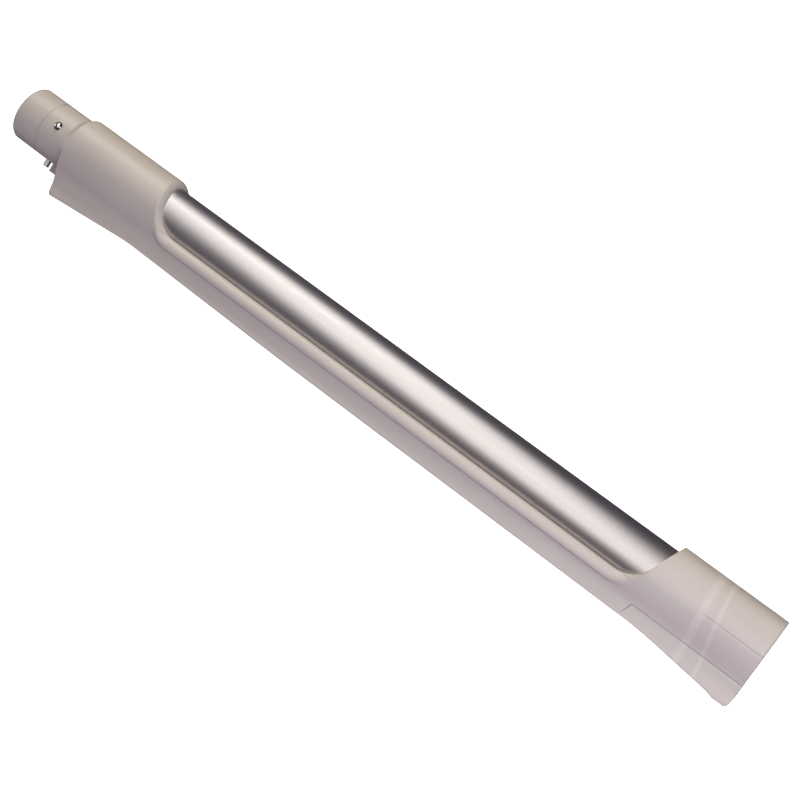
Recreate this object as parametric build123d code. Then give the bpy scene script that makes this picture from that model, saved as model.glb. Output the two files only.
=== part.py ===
from build123d import *
import math
import os

# Rigid vacuum cleaner tube with a cable duct. It is drawn in the tube's own frame: x runs along the
# axis from the spigot's tip to the socket's mouth, y points to the crown (away from the duct) and z to
# the right-hand side. At the end every piece is rolled and moved to the way the tube lies on a floor.
# All lengths are in millimetres, and depths are counted from the tube's axis towards the duct.

# Suction tube
tube_diameter = 32.0
tube_wall = 1.0
tube_seat_clearance = 0.05
tube_engagement = 51.8

# Spigot, the male end
spigot_diameter = 35.0
spigot_wall = 2.5
spigot_length = 38.5
spigot_tip_round = 1.5
land_length = 19.0
land_groove_width = 0.8
land_groove_depth = 0.25

# Casing along the axis
ramp_length = 3.5
collar_length = 70.3
window_length = 358.7
socket_length = 66.0

# Casing around the axis
casing_wall = 4.0
valley_inset = 7.4
valley_rise = 1.5
valley_round = 9.0
valley_top_inset = 3.5
valley_top_rise = 12.0
base_inset = 4.0

# Window over the tube and the rail along its edges
window_floor_depth = 8.9
window_lean = 20.0
window_front_round = 10.0
window_rear_round = 12.0
window_rim_round = 3.4
rail_lap = 0.2
rail_rise = 4.8
rail_rim = 6.3

# Socket, the female end
socket_clearance = 0.2
socket_depth = 40.5
socket_chamfer = 0.8
socket_relief_width = 1.0
socket_relief_depth = 0.4
seal_thickness = 3.0
seal_relief = 0.3
seal_clearance = 0.1

# Fairing under the tube, a duct for two wires
cradle_wall = 2.1
duct_half_width = 9.7
wire_gap = 0.3
duct_cover_thickness = 1.6
duct_cover_ledge = 2.3
cover_clearance = 0.2
belly_drop = 1.4
belly_offset = 117.7
front_foot_drop = 5.3
rear_foot_drop = 6.7
front_ramp_length = 60.0
front_face_rake = 4.5
front_foot_round = 2.0
front_ramp_round = 150.0
belly_round = 1500.0
rear_flare_length = 47.0
rear_flare_round = 200.0
rear_foot_length = 9.5
rear_foot_step = 1.1
rear_foot_step_length = 3.5
rear_foot_round = 8.0
rear_end_round = 3.0

# Connector cover under the socket
cover_length = 72.7
cover_joint_rise = 3.1
seam_depth = 19.2
seam_gap = 0.2
cover_wall = 2.1
screw_offset = 20.0
screw_half_pitch = 9.4
screw_radius = 1.3
screw_head_radius = 2.75
screw_head_height = 1.6
screw_bite = 3.8
screw_slot_width = 0.8
screw_slot_depth = 0.9
screw_clearance = 0.2
pilot_clearance = 0.05
pilot_end_gap = 0.4
screw_boss_wall = 1.6

# Detent buttons, their spring band and the index pin
button_station = 29.5
button_angle = 17.5
button_radius = 2.4
button_height = 1.6
button_dome = 1.3
button_clearance = 0.3
button_foot_gap = 0.1
band_station = 28.0
band_width = 9.0
band_thickness = 0.5
band_recess = 0.25
band_clearance = 0.05
band_side_clearance = 0.1
band_overhang = 12.0
pin_station = 26.4
pin_radius = 1.85
pin_height = 4.1
pin_seat_depth = 0.5
pin_shank_radius = 1.2
pin_head_radius = 2.4
pin_head_height = 0.6
pin_clearance = 0.1
key_length = 7.0
key_width = 5.0
key_height = 4.7
key_clearance = 0.4
detent_clearance = 0.6
detent_depth_clearance = 0.1

# Plug in the fairing's front face, outlet under the socket, and the wires between them
contact_drop = 3.8
contact_pitch = 9.0
contact_clearance = 0.05
inlet_recess_depth = 13.5
inlet_half_width = 8.5
inlet_rise = 2.3
inlet_drop = 4.6
inlet_block_length = 10.0
inlet_pin_radius = 1.25
inlet_pin_reach = 7.5
inlet_pin_tip_round = 0.8
outlet_recess_depth = 17.0
outlet_block_length = 16.0
outlet_top_gap = 0.85
sleeve_radius = 2.0
sleeve_bore_radius = 1.35
sleeve_floor = 3.0
sleeve_setback = 1.0
wire_radius = 1.0
block_clearance = 0.1

# Sizes that follow from the ones above
tube_radius = tube_diameter / 2
tube_bore_radius = tube_radius - tube_wall
seat_radius = tube_radius + tube_seat_clearance
collar_radius = tube_radius + casing_wall
spigot_radius = spigot_diameter / 2
spigot_bore_radius = spigot_radius - spigot_wall
land_groove_end = land_length + land_groove_width
land_groove_radius = spigot_radius - land_groove_depth
socket_radius = spigot_radius + socket_clearance
seal_seat_radius = socket_radius - seal_relief

collar_start = spigot_length + ramp_length
window_start = collar_start + collar_length
window_end = window_start + window_length
total_length = window_end + socket_length
tube_start = window_start - tube_engagement
seal_end = total_length - socket_depth
socket_relief_end = seal_end + socket_relief_width
tube_end = seal_end - seal_thickness
lean_slope = math.tan(math.radians(window_lean))

valley_half_width = collar_radius - valley_inset
valley_depth = collar_radius - valley_rise
valley_top_depth = collar_radius - valley_top_rise
base_half_width = collar_radius - base_inset
rail_top_depth = window_floor_depth - rail_lap
rail_half_width = math.sqrt(collar_radius**2 - rail_top_depth**2)
rail_depth = collar_radius - rail_rise

duct_roof_depth = seat_radius + cradle_wall
contact_depth = collar_radius + contact_drop
duct_floor_depth = contact_depth + wire_radius + wire_gap
arch_depth = duct_floor_depth + duct_cover_thickness
belly_depth = arch_depth + belly_drop
front_foot_depth = arch_depth + front_foot_drop
rear_foot_depth = arch_depth + rear_foot_drop
front_foot_start = collar_start + front_face_rake
arch_start = front_foot_start + front_ramp_length
belly_start = window_start + belly_offset
rear_foot_start = total_length - rear_foot_length
rear_step_start = rear_foot_start - rear_foot_step_length
rear_flare_start = rear_step_start - rear_flare_length

cover_joint_foot = total_length - cover_length
seam_start = cover_joint_foot + cover_joint_rise
cavity_half_width = valley_half_width - cover_wall
screw_station = cover_joint_foot + screw_offset
screw_seat_depth = belly_depth - screw_head_height
screw_tip_depth = seam_depth - screw_bite
screw_sides = [screw_half_pitch, -screw_half_pitch]
screw_hole_radius = screw_radius + screw_clearance

band_outer_radius = spigot_bore_radius + band_recess + band_thickness
band_inner_radius = band_outer_radius - band_thickness
groove_radius = band_outer_radius + band_clearance
band_start = band_station - band_width / 2
band_end = band_station + band_width / 2
button_angles = {"right": button_angle, "left": 180 - button_angle}
button_foot = band_outer_radius + button_foot_gap
button_top = spigot_radius + button_height
pin_seat = spigot_radius - pin_seat_depth
pin_head_seat = math.sqrt(band_inner_radius**2 - pin_head_radius**2) - pin_clearance
keyway_length = spigot_length - pin_station + pin_radius + key_clearance
detent_station = total_length - spigot_length + button_station

inlet_floor = collar_start + inlet_recess_depth
inlet_back = inlet_floor + inlet_block_length
outlet_face = total_length - outlet_recess_depth
outlet_start = outlet_face - outlet_block_length
contact_sides = {"right": contact_pitch / 2, "left": -contact_pitch / 2}

# How the tube lies on a floor: rolled until the barrel and the rear foot's edge both touch it
foot_reach = math.hypot(rear_foot_depth, base_half_width)
foot_bearing = math.atan2(rear_foot_depth, base_half_width)
rest_roll = foot_bearing - math.acos(collar_radius / foot_reach)
lowest_side = -rear_foot_depth * math.cos(rest_roll) - base_half_width * math.sin(rest_roll)
middle = (collar_radius + lowest_side) / 2
REST = Pos(-total_length / 2, -middle, collar_radius) * Rot(X=math.degrees(rest_roll))

# Reach of a cutting tool that has to pass right through the casing
BEYOND = 3 * collar_radius


def lathe(points, radii=0):
    """Solid turned about the axis from an outline of (x, radius) points."""
    return revolve(make_face(FilletPolyline(*points, radius=radii, close=True)), Axis.X)


def slab(points, half_width, radii=0):
    """Plate with an (x, y) outline, as thick to the left as to the right."""
    outline = make_face(FilletPolyline(*points, radius=radii, close=True))
    return extrude(outline, half_width, both=True)


def block(x_range, depths, half_width):
    """Box between two stations and two depths, centred on the middle plane."""
    start, end = x_range
    shallow, deep = depths
    return slab([(start, -deep), (end, -deep), (end, -shallow), (start, -shallow)], half_width)


def bar(origin, direction, length, radius):
    """Round bar from a point along a direction."""
    stock = Cylinder(radius, length, align=(Align.CENTER, Align.CENTER, Align.MIN))
    return Plane(origin, z_dir=direction) * stock


def rod(start, end, radius, depth=0.0, side=0.0):
    """Round bar along x between two stations."""
    return bar((start, -depth, side), (1, 0, 0), end - start, radius)


def upright(station, side, shallow, deep, radius):
    """Round bar along y between two depths."""
    return bar((station, -deep, side), (0, 1, 0), deep - shallow, radius)


def spoke(angle, station, inner, outer, radius):
    """Round bar along a radius of the tube, between two distances from the axis."""
    out = Vector(0, math.sin(math.radians(angle)), math.cos(math.radians(angle)))
    return bar(Vector(station, 0, 0) + out * inner, out, outer - inner, radius)


def underside(lift=0.0):
    """Side view of the fairing as a thick plate, raised by lift."""
    points = [
        (collar_start, 0),
        (collar_start, -spigot_radius),
        (front_foot_start, -front_foot_depth),
        (arch_start, -arch_depth),
        (belly_start, -belly_depth),
        (rear_flare_start, -belly_depth),
        (rear_step_start, -rear_foot_depth + rear_foot_step),
        (rear_foot_start, -rear_foot_depth),
        (total_length, -rear_foot_depth),
        (total_length, 0),
    ]
    radii = [
        0,
        0,
        front_foot_round,
        front_ramp_round,
        belly_round,
        rear_flare_round,
        rear_foot_round,
        rear_foot_round,
        rear_end_round,
        0,
    ]
    return Pos(0, lift, 0) * slab(points, BEYOND, radii)


def mirrored_section(side, radii=0):
    """Face across the axis from (y, z) points of its right side, listed downwards."""
    other_side = [(y, -z) for y, z in reversed(side)]
    return Plane.YZ * make_face(FilletPolyline(*side, *other_side, radius=radii, close=True))


def fairing():
    """Waisted box under the tube, from the front face to the socket's mouth."""
    side = [
        (-valley_top_depth, collar_radius - valley_top_inset),
        (-valley_depth, valley_half_width),
        (-rear_foot_depth, base_half_width),
    ]
    section = mirrored_section(side, [0, valley_round, 0, 0, valley_round, 0])
    return extrude(section, total_length) & underside()


def window_front(y, spread=0.0):
    """Station of the window's leaning front end at a height, moved forward by spread."""
    return window_start + (tube_radius - y) * lean_slope - spread


def window_rear(y, spread=0.0):
    """Station of the window's leaning rear end at a height, moved backward by spread."""
    return window_end - (tube_radius - y) * lean_slope + spread


def window(rim=0.0):
    """Opening over the tube, grown by rim: leaning ends and a level floor."""
    spread = rim / math.cos(math.radians(window_lean))
    floor = -window_floor_depth - rim
    points = [
        (window_front(BEYOND, spread), BEYOND),
        (window_front(floor, spread), floor),
        (window_rear(floor, spread), floor),
        (window_rear(BEYOND, spread), BEYOND),
    ]
    return slab(points, BEYOND, [0, window_front_round + rim, window_rear_round + rim, 0])


def rail():
    """Lip that stands out along both long edges of the window."""
    side = [
        (-window_floor_depth + casing_wall, rail_half_width),
        (-rail_depth, rail_half_width),
        (-valley_depth, valley_half_width),
    ]
    zone = window(rail_rim + valley_depth - rail_depth)
    return extrude(mirrored_section(side), total_length) & zone


def cover_zone(gap=0.0):
    """Region under the socket that the connector cover takes up, drawn in by gap."""
    points = [
        (cover_joint_foot + gap, -BEYOND),
        (cover_joint_foot + gap, -belly_depth),
        (seam_start + gap, -seam_depth - gap),
        (total_length, -seam_depth - gap),
        (total_length, -BEYOND),
    ]
    return slab(points, BEYOND)


def duct_cover_zone(gap=0.0):
    """Strip at the fairing's underside that the duct cover takes up, drawn in by gap."""
    stations = (inlet_floor - duct_cover_ledge + gap, cover_joint_foot - gap)
    strip = block(stations, (0, BEYOND), duct_half_width + duct_cover_ledge - gap)
    return strip & (underside() - underside(duct_cover_thickness))


def make_shell():
    """Outside of the casing, without its bores and recesses."""
    barrel = lathe(
        [
            (0, 0),
            (0, spigot_radius),
            (land_length, spigot_radius),
            (land_length, land_groove_radius),
            (land_groove_end, land_groove_radius),
            (land_groove_end, spigot_radius),
            (spigot_length, spigot_radius),
            (collar_start, collar_radius),
            (total_length, collar_radius),
            (total_length, 0),
        ],
        [0, spigot_tip_round, 0, 0, 0, 0, 0, 0, 0, 0],
    )
    solid = barrel + fairing() + rail()
    opened = solid - window()
    return fillet(new_edges(solid, window(), combined=opened), window_rim_round)


def make_casing():
    """Grey moulding: spigot, collar, fairing and socket in one piece."""
    key_depths = (spigot_bore_radius, spigot_radius + key_height)
    body = make_shell() + block((spigot_length - key_length, front_foot_start), key_depths, key_width / 2)

    # Wire duct, open below, with the seats of its two covers and the recess of the plug
    body -= block((inlet_floor, seam_start), (duct_roof_depth, BEYOND), duct_half_width)
    body -= duct_cover_zone()
    body -= cover_zone() - rod(0, total_length, collar_radius)
    inlet_depths = (contact_depth - inlet_rise, contact_depth + inlet_drop)
    body -= block((collar_start, inlet_floor), inlet_depths, inlet_half_width)
    for side in screw_sides:
        pilot_end = screw_tip_depth - pilot_end_gap
        body -= upright(screw_station, side, pilot_end, seam_depth, screw_radius + pilot_clearance)

    # Bores for the tube, the seal and the next tube's spigot
    body -= lathe(
        [
            (-BEYOND, 0),
            (-BEYOND, spigot_bore_radius),
            (tube_start, spigot_bore_radius),
            (tube_start, seat_radius),
            (tube_end, seat_radius),
            (tube_end, seal_seat_radius),
            (seal_end, seal_seat_radius),
            (seal_end, socket_radius + socket_relief_depth),
            (socket_relief_end, socket_radius + socket_relief_depth),
            (socket_relief_end, socket_radius),
            (total_length - socket_chamfer, socket_radius),
            (total_length, socket_radius + socket_chamfer),
            (total_length + BEYOND, socket_radius + socket_chamfer),
            (total_length + BEYOND, 0),
        ]
    )

    # Seats of the spring band, its buttons and the index pin, and what they click into
    body -= rod(band_start - band_side_clearance, band_end + band_side_clearance, groove_radius)
    for angle in button_angles.values():
        body -= spoke(angle, button_station, 0, BEYOND, button_radius + button_clearance)
        detent_top = button_top + detent_depth_clearance
        body -= spoke(angle, detent_station, 0, detent_top, button_radius + detent_clearance)
    body -= upright(pin_station, 0, pin_seat, BEYOND, pin_radius + pin_clearance)
    body -= upright(pin_station, 0, 0, BEYOND, pin_shank_radius + pin_clearance)
    keyway_depths = (0, spigot_radius + key_height + key_clearance)
    body -= block((total_length - keyway_length, total_length), keyway_depths, key_width / 2 + key_clearance)
    return body


def make_suction_tube():
    """Plain aluminium tube."""
    return rod(tube_start, tube_end, tube_radius) - rod(tube_start, tube_end, tube_bore_radius)


def make_connector_cover():
    """Hollow cover under the socket, open towards the mouth."""
    outside = (fairing() & cover_zone(seam_gap)) - rod(0, total_length, collar_radius + seam_gap)
    cavity = block((cover_joint_foot, total_length), (0, BEYOND), cavity_half_width) & underside(cover_wall)
    cover = outside - cavity
    for side in screw_sides:
        cover += outside & upright(screw_station, side, 0, BEYOND, screw_hole_radius + screw_boss_wall)
        cover -= upright(screw_station, side, 0, BEYOND, screw_hole_radius)
        head_radius = screw_head_radius + screw_clearance
        cover -= upright(screw_station, side, screw_seat_depth, BEYOND, head_radius)
    return cover


def make_cover_screws():
    """The two slotted screws that hold the connector cover."""
    screws = []
    for side in screw_sides:
        head = upright(screw_station, side, screw_seat_depth, belly_depth, screw_head_radius)
        shank = upright(screw_station, side, screw_tip_depth, screw_seat_depth, screw_radius)
        screws.append(head + shank)
    slot_stations = (screw_station - screw_slot_width / 2, screw_station + screw_slot_width / 2)
    slot = block(slot_stations, (belly_depth - screw_slot_depth, belly_depth), BEYOND)
    return Compound(children=[screw - slot for screw in screws])


def make_spring_band():
    """Open spring ring in the spigot, carrying the buttons on its ends."""
    ring = rod(band_start, band_end, band_outer_radius) - rod(band_start, band_end, band_inner_radius)
    tip = math.radians(button_angle + band_overhang)
    rise = BEYOND * math.sin(tip)
    spread = BEYOND * math.cos(tip)
    gap = Polyline((0, 0), (rise, spread), (BEYOND, spread), (BEYOND, -spread), (rise, -spread), close=True)
    ring -= extrude(Plane.YZ * make_face(gap), total_length)
    return ring - upright(pin_station, 0, 0, BEYOND, pin_shank_radius + pin_clearance)


def make_button(angle):
    """Domed stud that stands in a hole of the spigot."""
    shoulder = button_top - button_dome
    dome_radius = (button_radius**2 + button_dome**2) / (2 * button_dome)
    out = Vector(0, math.sin(math.radians(angle)), math.cos(math.radians(angle)))
    ball = Pos(Vector(button_station, 0, 0) + out * (button_top - dome_radius)) * Sphere(dome_radius)
    dome = spoke(angle, button_station, shoulder, button_top, button_radius) & ball
    return dome + spoke(angle, button_station, button_foot, shoulder, button_radius)


def make_index_pin():
    """Riveted pin that holds the spring band and keys the spigot."""
    pin = upright(pin_station, 0, pin_seat, spigot_radius + pin_height, pin_radius)
    pin += upright(pin_station, 0, pin_head_seat, pin_seat, pin_shank_radius)
    return pin + upright(pin_station, 0, pin_head_seat - pin_head_height, pin_head_seat, pin_head_radius)


def make_socket_seal():
    """Flat ring at the bottom of the socket."""
    ring = rod(tube_end, seal_end, seal_seat_radius - seal_clearance)
    return ring - rod(tube_end, seal_end, tube_bore_radius)


def make_inlet_block():
    """Insulating block that holds the plug's pins behind the recess."""
    depths = (duct_roof_depth + block_clearance, BEYOND)
    body = block((inlet_floor, inlet_back), depths, duct_half_width - block_clearance)
    body &= underside(duct_cover_thickness + block_clearance)
    for side in contact_sides.values():
        hole_radius = inlet_pin_radius + contact_clearance
        body -= rod(inlet_floor, inlet_back, hole_radius, contact_depth, side)
    return body


def make_inlet_pin(side):
    """Contact pin with a rounded tip."""
    start = inlet_floor - inlet_pin_reach
    outline = [(start, 0), (start, inlet_pin_radius), (inlet_back, inlet_pin_radius), (inlet_back, 0)]
    return Pos(0, -contact_depth, side) * lathe(outline, [0, inlet_pin_tip_round, 0, 0])


def make_outlet_block():
    """Insulating block that holds the outlet's sleeves under the socket."""
    depths = (collar_radius + outlet_top_gap, BEYOND)
    body = block((outlet_start, outlet_face), depths, cavity_half_width - block_clearance)
    body &= underside(cover_wall + block_clearance)
    for side in contact_sides.values():
        hole_radius = sleeve_radius + contact_clearance
        body -= rod(outlet_start, outlet_face, hole_radius, contact_depth, side)
    return body


def make_outlet_sleeve(side):
    """Contact sleeve, closed where the wire joins it."""
    end = outlet_face - sleeve_setback
    sleeve = rod(outlet_start, end, sleeve_radius, contact_depth, side)
    return sleeve - rod(outlet_start + sleeve_floor, end, sleeve_bore_radius, contact_depth, side)


def make_wire(side):
    """Insulated wire from plug to outlet."""
    return rod(inlet_back, outlet_start, wire_radius, contact_depth, side)


if __name__ == "__main__":
    os.makedirs("parts", exist_ok=True)
    pieces = {
        "casing": make_casing(),
        "suction_tube": make_suction_tube(),
        "connector_cover": make_connector_cover(),
        "cover_screws": make_cover_screws(),
        "duct_cover": duct_cover_zone(cover_clearance),
        "spring_band": make_spring_band(),
        "index_pin": make_index_pin(),
        "socket_seal": make_socket_seal(),
        "inlet_block": make_inlet_block(),
        "outlet_block": make_outlet_block(),
    }
    for name, angle in button_angles.items():
        pieces[f"detent_button_{name}"] = make_button(angle)
    for name, side in contact_sides.items():
        pieces[f"inlet_pin_{name}"] = make_inlet_pin(side)
        pieces[f"outlet_sleeve_{name}"] = make_outlet_sleeve(side)
        pieces[f"wire_{name}"] = make_wire(side)
    for name, piece in pieces.items():
        export_step(REST * piece, f"parts/{name}.step")
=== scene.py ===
"""Vacuum cleaner tube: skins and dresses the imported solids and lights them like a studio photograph.

The solids lie on their side. Sizes below are in millimetres in the tube's own frame, where x runs
along the axis from the spigot's tip, y points to the crown and z to the right-hand side, and depths
are counted from the axis towards the wire duct. One placement turns them into the model's frame, in
metres.
"""

import logging
import math
from collections.abc import Sequence
from dataclasses import dataclass, field
from enum import Enum

import bpy
import numpy as np
from mathutils import Matrix, Vector


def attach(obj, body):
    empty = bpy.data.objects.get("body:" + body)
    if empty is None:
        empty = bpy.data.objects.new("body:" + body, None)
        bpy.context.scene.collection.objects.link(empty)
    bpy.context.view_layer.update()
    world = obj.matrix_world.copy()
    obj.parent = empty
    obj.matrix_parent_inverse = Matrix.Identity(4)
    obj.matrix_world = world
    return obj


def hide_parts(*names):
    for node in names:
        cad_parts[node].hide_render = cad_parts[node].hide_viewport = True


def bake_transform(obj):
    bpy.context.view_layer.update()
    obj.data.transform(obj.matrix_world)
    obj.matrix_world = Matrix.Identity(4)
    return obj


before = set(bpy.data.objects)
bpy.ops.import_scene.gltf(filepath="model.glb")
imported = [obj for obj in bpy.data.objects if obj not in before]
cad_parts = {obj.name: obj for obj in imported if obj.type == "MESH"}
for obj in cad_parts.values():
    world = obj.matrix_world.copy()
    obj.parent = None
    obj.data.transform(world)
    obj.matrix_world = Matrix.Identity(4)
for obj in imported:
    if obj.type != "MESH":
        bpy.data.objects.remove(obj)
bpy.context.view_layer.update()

log = logging.getLogger("tube")
logging.basicConfig(level=logging.INFO, format="%(name)s: %(message)s")

MM = 0.001

# Reach of a cutting tool that has to pass right through the casing
BEYOND = 60.0

# The directions along the tube and across it, to the crown
ALONG_X = (1.0, 0.0, 0.0)
ALONG_Y = (0.0, 1.0, 0.0)

# Outline of (station, depth) or similar points, and a box by its stations, depths and half-width
Line = tuple[tuple[float, float], ...]
Box = tuple[tuple[float, float], tuple[float, float], float]


class Side(Enum):
    """The two sides of the tube, with the sign of z there."""

    RIGHT = 1
    LEFT = -1


class Cut(Enum):
    """What a tool does to the solid that it meets."""

    REMOVE = "DIFFERENCE"
    KEEP = "INTERSECT"
    JOIN = "UNION"


class Use(Enum):
    """What a light does: whether it lights dull surfaces, and whether it shows in shiny ones."""

    BOTH = (True, True)
    FILL = (True, False)
    GLINT = (False, True)


def linear(hex_colour: str) -> tuple[float, float, float, float]:
    """Turns an sRGB hex colour into linear light.

    Args:
        hex_colour: six hex digits after a hash.

    Returns:
        Red, green, blue and an alpha of 1, by the sRGB curve: c / 12.92 in the toe, and
        ((c + 0.055) / 1.055) to the power 2.4 above it.
    """
    digits = hex_colour.lstrip("#")
    channels = [int(digits[i : i + 2], 16) / 255 for i in (0, 2, 4)]
    low, high = [c / 12.92 for c in channels], [((c + 0.055) / 1.055) ** 2.4 for c in channels]
    red, green, blue = [a if c <= 0.04045 else b for c, a, b in zip(channels, low, high)]
    return (red, green, blue, 1.0)


def add(
    tree: bpy.types.NodeTree, kind: str, settings: dict | None = None, **sockets
) -> bpy.types.Node:
    """Adds one node with its settings and links.

    Args:
        tree: the material's or world's node tree.
        kind: the node's type name.
        settings: properties of the node itself.
        sockets: input name, with spaces as underscores, or an underscore and the input's number, to a
            value or to the output that feeds it.

    Returns:
        The new node.
    """
    node = tree.nodes.new(kind)
    for name, value in (settings or {}).items():
        setattr(node, name, value)
    for name, value in sockets.items():
        key = int(name[1:]) if name[1:].isdigit() else name.replace("_", " ")
        socket = node.inputs[key]
        if isinstance(value, bpy.types.NodeSocket):
            tree.links.new(value, socket)
        else:
            socket.default_value = value
    return node


def blank_material(name: str) -> tuple[bpy.types.Material, bpy.types.NodeTree]:
    """Makes a material with an empty node tree."""
    material = bpy.data.materials.new(name)
    material.use_nodes = True
    material.node_tree.nodes.clear()
    return material, material.node_tree


def set_up(name: str, data: bpy.types.ID) -> bpy.types.Object:
    """Puts a mesh, light or camera into the scene as an object at the origin."""
    thing = bpy.data.objects.new(name, data)
    bpy.context.scene.collection.objects.link(thing)
    return thing


def soft_max(a: np.ndarray, b: np.ndarray, reach: float) -> np.ndarray:
    """Larger of two heights, rounded where they differ by less than reach.

    Args:
        a: first height.
        b: second height.
        reach: difference at which the rounding ends.

    Returns:
        The larger one plus a parabola of the closeness: reach / 4 where both are equal, 0 at reach.
    """
    closeness = np.maximum(reach - np.abs(a - b), 0.0) / reach
    return np.maximum(a, b) + closeness**2 * reach / 4


def soft_min(a: np.ndarray, b: np.ndarray, reach: float) -> np.ndarray:
    """Smaller of two heights, rounded in the same way."""
    return -soft_max(-a, -b, reach)


def ease(t: np.ndarray) -> np.ndarray:
    """Smooth step from 0 to 1: three t squared less two t cubed."""
    t = np.clip(t, 0.0, 1.0)
    return t * t * (3 - 2 * t)


def rounded(
    points: Sequence[tuple[float, float]], radii: Sequence[float], steps: int = 10
) -> np.ndarray:
    """Rounds the inner corners of an open outline.

    Args:
        points: the outline's corners.
        radii: one radius for each inner corner.
        steps: points on each arc.

    Returns:
        The outline's points. Each arc turns one tangent point's radius vector into the other's by
        spherical interpolation about the arc's centre.
    """
    corners = np.asarray(points, float)
    pieces = [corners[:1]]
    for before, corner, after, radius in zip(corners, corners[1:], corners[2:], radii):
        back = (before - corner) / np.linalg.norm(before - corner)
        on = (after - corner) / np.linalg.norm(after - corner)
        half = math.acos(float(back @ on)) / 2
        centre = corner + (back + on) / np.linalg.norm(back + on) * radius / math.sin(half)
        reach = radius / math.tan(half)
        sweep = math.pi - 2 * half
        t = np.linspace(0, 1, steps)[:, None]
        first, last = corner + back * reach - centre, corner + on * reach - centre
        arc = (np.sin((1 - t) * sweep) * first + np.sin(t * sweep) * last) / math.sin(sweep)
        pieces.append(centre + arc)
    return np.concatenate([*pieces, corners[-1:]])


@dataclass(frozen=True)
class Placement:
    """How the tube's own frame lies in the model's frame."""

    total_length: float = 537.0
    collar_radius: float = 20.0
    rear_foot_depth: float = 33.4
    base_half_width: float = 16.0

    @property
    def roll(self) -> float:
        """Angle that brings the barrel and the rear foot's edge down on the floor together."""
        reach = math.hypot(self.rear_foot_depth, self.base_half_width)
        bearing = math.atan2(self.rear_foot_depth, self.base_half_width)
        return bearing - math.acos(self.collar_radius / reach)

    @property
    def shift(self) -> tuple[float, float, float]:
        """Move that follows the roll and centres the outline over the origin."""
        c, s = math.cos(self.roll), math.sin(self.roll)
        far = -self.rear_foot_depth * c - self.base_half_width * s
        return (-self.total_length / 2, -(self.collar_radius + far) / 2, self.collar_radius)

    def turn(self, vectors: np.ndarray) -> np.ndarray:
        """Rolls directions of the tube's frame about x."""
        c, s = math.cos(self.roll), math.sin(self.roll)
        return vectors @ np.array([[1, 0, 0], [0, c, s], [0, -s, c]])

    def points(self, tube_points: np.ndarray) -> np.ndarray:
        """Moves points from the tube's frame, in millimetres, to the model's, in metres."""
        return (self.turn(np.asarray(tube_points, float)) + self.shift) * MM

    def back_shift(self) -> tuple[float, float, float]:
        """Move that, after the roll is undone, brings the model's origin back to the tube's."""
        x, y, z = self.shift
        c, s = math.cos(self.roll), math.sin(self.roll)
        return (-x, -(y * c + z * s), -(z * c - y * s))


REST = Placement()


def ring_quads(rows: int, columns: int) -> np.ndarray:
    """Corners of the quads that join each ring of points to the next, by quad."""
    first = np.arange(rows - 1)[:, None] * columns
    place = np.arange(columns)[None, :]
    following = (place + 1) % columns
    second = first + columns
    corners = (first + place, first + following, second + following, second + place)
    return np.stack(np.broadcast_arrays(*corners), axis=-1).reshape(-1, 4)


def ring_solid(name: str, rings: np.ndarray) -> bpy.types.Object:
    """Makes a closed solid from a stack of rings.

    Args:
        name: the object's name.
        rings: points in the tube's frame, by ring, place in the ring and axis.

    Returns:
        The object, at the origin. Each ring is joined to the next by quads, the two end rings are
        capped, and the faces are turned round if they enclose a negative volume.
    """
    rows, columns = rings.shape[:2]
    points = REST.points(rings.reshape(-1, 3))
    quads = ring_quads(rows, columns)
    spread = points - points.mean(axis=0)
    a, b, c, d = (spread[quads[:, i]] for i in range(4))
    volume = np.einsum("ij,ij->", np.cross(a, b), c) + np.einsum("ij,ij->", np.cross(a, c), d)
    first_cap = list(range(columns))[::-1]
    last_cap = list(range((rows - 1) * columns, rows * columns))
    faces = [*quads.tolist(), first_cap, last_cap]
    if volume < 0:
        faces = [face[::-1] for face in faces]
    data = bpy.data.meshes.new(name)
    data.from_pydata(points.tolist(), [], faces)
    return set_up(name, data)


def lathe(name: str, profile: Sequence[tuple[float, float]], sides: int = 144) -> bpy.types.Object:
    """Turns an open profile of (x, radius) points about the axis.

    Args:
        name: the object's name.
        profile: stations and radii, all above zero.
        sides: points around the axis.

    Returns:
        The solid: radius times the cosine and sine of the angle, capped at both ends.
    """
    x, radius = np.asarray(profile, float).T[:, :, None]
    angle = np.linspace(0, 2 * math.pi, sides, endpoint=False)[None, :]
    axes = np.broadcast_arrays(x, radius * np.sin(angle), radius * np.cos(angle))
    return ring_solid(name, np.stack(axes, axis=-1))


def prism(name: str, outline: np.ndarray, half_width: float) -> bpy.types.Object:
    """Extrudes a side view to both sides.

    Args:
        name: the object's name.
        outline: closed outline of (x, y) points.
        half_width: reach to each side of the middle plane.

    Returns:
        The solid between the outline at minus and at plus half_width.
    """
    flat = np.asarray(outline, float)
    sides = [np.column_stack([flat, np.full(len(flat), z)]) for z in (-half_width, half_width)]
    return ring_solid(name, np.stack(sides))


def block(name: str, stations: tuple, depths: tuple, half_width: float) -> bpy.types.Object:
    """Box between two stations and two depths, centred on the middle plane."""
    (start, end), (shallow, deep) = stations, depths
    outline = [(start, -deep), (end, -deep), (end, -shallow), (start, -shallow)]
    return prism(name, outline, half_width)


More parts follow.
